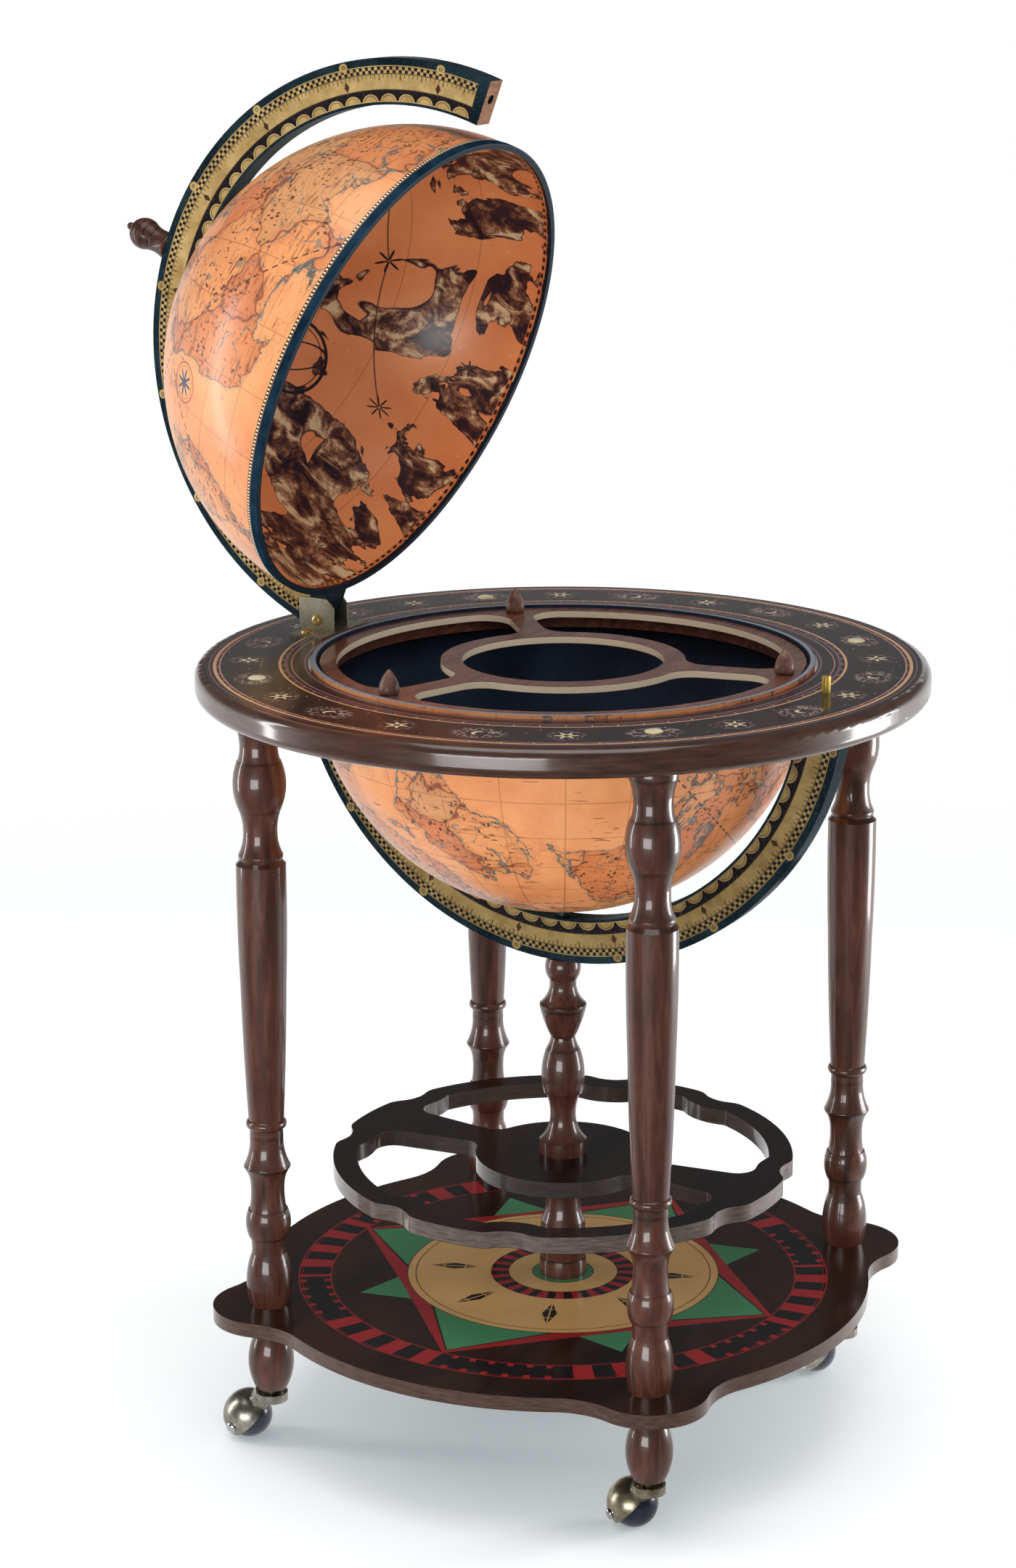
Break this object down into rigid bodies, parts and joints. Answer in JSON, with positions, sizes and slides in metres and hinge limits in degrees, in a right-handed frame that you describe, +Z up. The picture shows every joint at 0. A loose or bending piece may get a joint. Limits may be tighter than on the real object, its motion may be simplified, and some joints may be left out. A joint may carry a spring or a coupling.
{
  "type": "globe bar",
  "caption": "Floor-standing globe bar: the globe's hinged upper half opens over a bowl with a serving tray, above a bottle shelf and a base board on ball casters.",
  "frame": {"origin": "where the globe's vertical axis meets the floor, on which the casters stand", "axes": "+Z up, +X from the lid's hinge to its catch, +Y to the back; the lid is open at rest"},
  "size_m": [0.7173, 0.594, 1.1315],
  "materials": {
    "board_lacquer": "black-brown satin lacquer with printed rings",
    "table_lacquer": "near-black gloss lacquer with printed lines, walnut edge",
    "shelf_lacquer": "black-brown satin lacquer",
    "turned_walnut": "dark walnut gloss lacquer",
    "tray_walnut": "reddish walnut gloss lacquer",
    "knob_walnut": "walnut gloss lacquer",
    "raw_wood": "plain pale wood",
    "spacer_lacquer": "dark teal gloss lacquer",
    "arc_print": "dark teal gloss lacquer with a printed scale on both faces",
    "globe_print": "printed antique map under gloss lacquer",
    "bowl_flock": "black flock",
    "lid_print": "printed star chart, satin",
    "rim_band": "blue-black gloss",
    "cap_plastic": "cream gloss",
    "steel": "plain",
    "aged_brass": "aged, greenish grey",
    "bright_brass": "polished",
    "caster_metal": "antique nickelled brass",
    "caster_chrome": "bright",
    "caster_ball": "blue-black gloss"
  },
  "bodies": {
    "stand": {"base_board": "board_lacquer", "table_ring": "table_lacquer", "bottle_shelf": "shelf_lacquer", "column_lower": "turned_walnut", "column_upper": "turned_walnut", "tie_rod": "steel", "tie_rod_washer": "steel", "tie_rod_nut": "steel", "lower_arc": "arc_print", "arc_dowels": "raw_wood", "leg_studs": "steel", "leg_screws": "steel", "cover_caps": "cap_plastic", "bowl_shell": "globe_print", "bowl_lining": "bowl_flock", "bowl_pole_spacer": "spacer_lacquer", "bowl_side_spacers": "spacer_lacquer", "bowl_screws": "steel", "tray_ledge": "tray_walnut", "serving_tray": "tray_walnut", "tray_knobs": "knob_walnut", "hinge_bracket": "aged_brass", "hinge_pin": "bright_brass", "hinge_nut": "bright_brass", "bracket_screws": "bright_brass", "catch_tongue": "bright_brass", "caster_sockets": "steel", "leg_front_left": "turned_walnut", "foot_front_left": "turned_walnut", "leg_front_right": "turned_walnut", "foot_front_right": "turned_walnut", "leg_back_right": "turned_walnut", "foot_back_right": "turned_walnut", "leg_back_left": "turned_walnut", "foot_back_left": "turned_walnut"},
    "lid": {"lid_shell": "globe_print", "lid_lining": "lid_print", "lid_rim_band": "rim_band", "upper_arc": "arc_print", "lid_pole_spacer": "spacer_lacquer", "lid_side_spacer": "spacer_lacquer", "lid_side_screw": "steel", "pole_bolt": "steel", "pole_washer": "steel", "finial": "turned_walnut"},
    "caster_swivel_front_left": {"caster_hood_front_left": "caster_metal", "caster_axle_front_left": "caster_chrome"},
    "caster_wheel_front_left": {"caster_wheel_front_left": "caster_ball"},
    "caster_swivel_front_right": {"caster_hood_front_right": "caster_metal", "caster_axle_front_right": "caster_chrome"},
    "caster_wheel_front_right": {"caster_wheel_front_right": "caster_ball"},
    "caster_swivel_back_right": {"caster_hood_back_right": "caster_metal", "caster_axle_back_right": "caster_chrome"},
    "caster_wheel_back_right": {"caster_wheel_back_right": "caster_ball"},
    "caster_swivel_back_left": {"caster_hood_back_left": "caster_metal", "caster_axle_back_left": "caster_chrome"},
    "caster_wheel_back_left": {"caster_wheel_back_left": "caster_ball"}
  },
  "joints": [
    {"name": "lid_hinge", "type": "hinge", "parent": "stand", "child": "lid", "pos_m": [-0.2295, 0, 0.6664], "axis": [0, 1, 0], "range_deg": [0, 69.2]},
    {"name": "caster_swivel_front_left", "type": "hinge", "parent": "stand", "child": "caster_swivel_front_left", "pos_m": [-0.17763, -0.17763, 0.05], "axis": [0, 0, 1], "continuous": true},
    {"name": "caster_roll_front_left", "type": "hinge", "parent": "caster_swivel_front_left", "child": "caster_wheel_front_left", "pos_m": [-0.20482, -0.17185, 0.0193], "axis": [-0.2008, -0.9448, -0.2588], "continuous": true},
    {"name": "caster_swivel_front_right", "type": "hinge", "parent": "stand", "child": "caster_swivel_front_right", "pos_m": [0.17763, -0.17763, 0.05], "axis": [0, 0, 1], "continuous": true},
    {"name": "caster_roll_front_right", "type": "hinge", "parent": "caster_swivel_front_right", "child": "caster_wheel_front_right", "pos_m": [0.15542, -0.16089, 0.0193], "axis": [-0.5813, -0.7714, -0.2588], "continuous": true},
    {"name": "caster_swivel_back_right", "type": "hinge", "parent": "stand", "child": "caster_swivel_back_right", "pos_m": [0.17763, 0.17763, 0.05], "axis": [0, 0, 1], "continuous": true},
    {"name": "caster_roll_back_right", "type": "hinge", "parent": "caster_swivel_back_right", "child": "caster_wheel_back_right", "pos_m": [0.14989, 0.17956, 0.0193], "axis": [-0.0674, -0.9636, -0.2588], "continuous": true},
    {"name": "caster_swivel_back_left", "type": "hinge", "parent": "stand", "child": "caster_swivel_back_left", "pos_m": [-0.17763, 0.17763, 0.05], "axis": [0, 0, 1], "continuous": true},
    {"name": "caster_roll_back_left", "type": "hinge", "parent": "caster_swivel_back_left", "child": "caster_wheel_back_left", "pos_m": [-0.20282, 0.18937, 0.0193], "axis": [-0.4082, -0.8754, -0.2588], "continuous": true}
  ]
}
